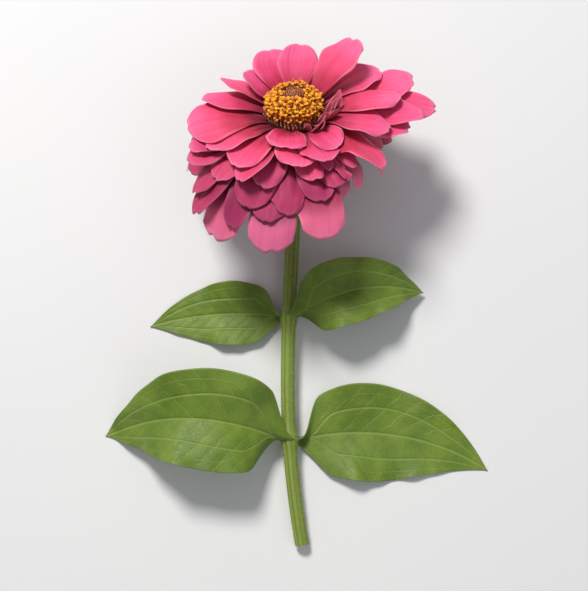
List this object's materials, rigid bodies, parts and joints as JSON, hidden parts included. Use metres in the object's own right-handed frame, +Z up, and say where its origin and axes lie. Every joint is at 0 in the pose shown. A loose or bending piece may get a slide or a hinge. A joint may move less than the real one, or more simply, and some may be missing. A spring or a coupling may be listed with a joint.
{
  "type": "zinnia flower",
  "caption": "Double pink zinnia bloom with a yellow centre, on a cut leafy stem, lying on a surface with its face turned up.",
  "frame": {"origin": "on the surface the flower lies on, at the middle of its bounding box", "axes": "+Y from the cut end of the stem to the bloom, +Z up from the surface, +X to the right seen from above with the bloom at the top"},
  "size_m": [0.1429, 0.1823, 0.0576],
  "materials": {
    "petal_pink": "satin",
    "floret_yellow": "matte",
    "chaff_maroon": "matte",
    "bract_green": "matte",
    "stem_green": "satin",
    "leaf_green": "satin"
  },
  "bodies": {
    "root": {"ray_petals": "petal_pink", "disc_florets": "floret_yellow", "disc_chaff": "chaff_maroon", "involucre": "bract_green", "stem": "stem_green", "leaf_upper_left": "leaf_green", "leaf_upper_right": "leaf_green", "leaf_lower_left": "leaf_green", "leaf_lower_right": "leaf_green"}
  },
  "joints": []
}
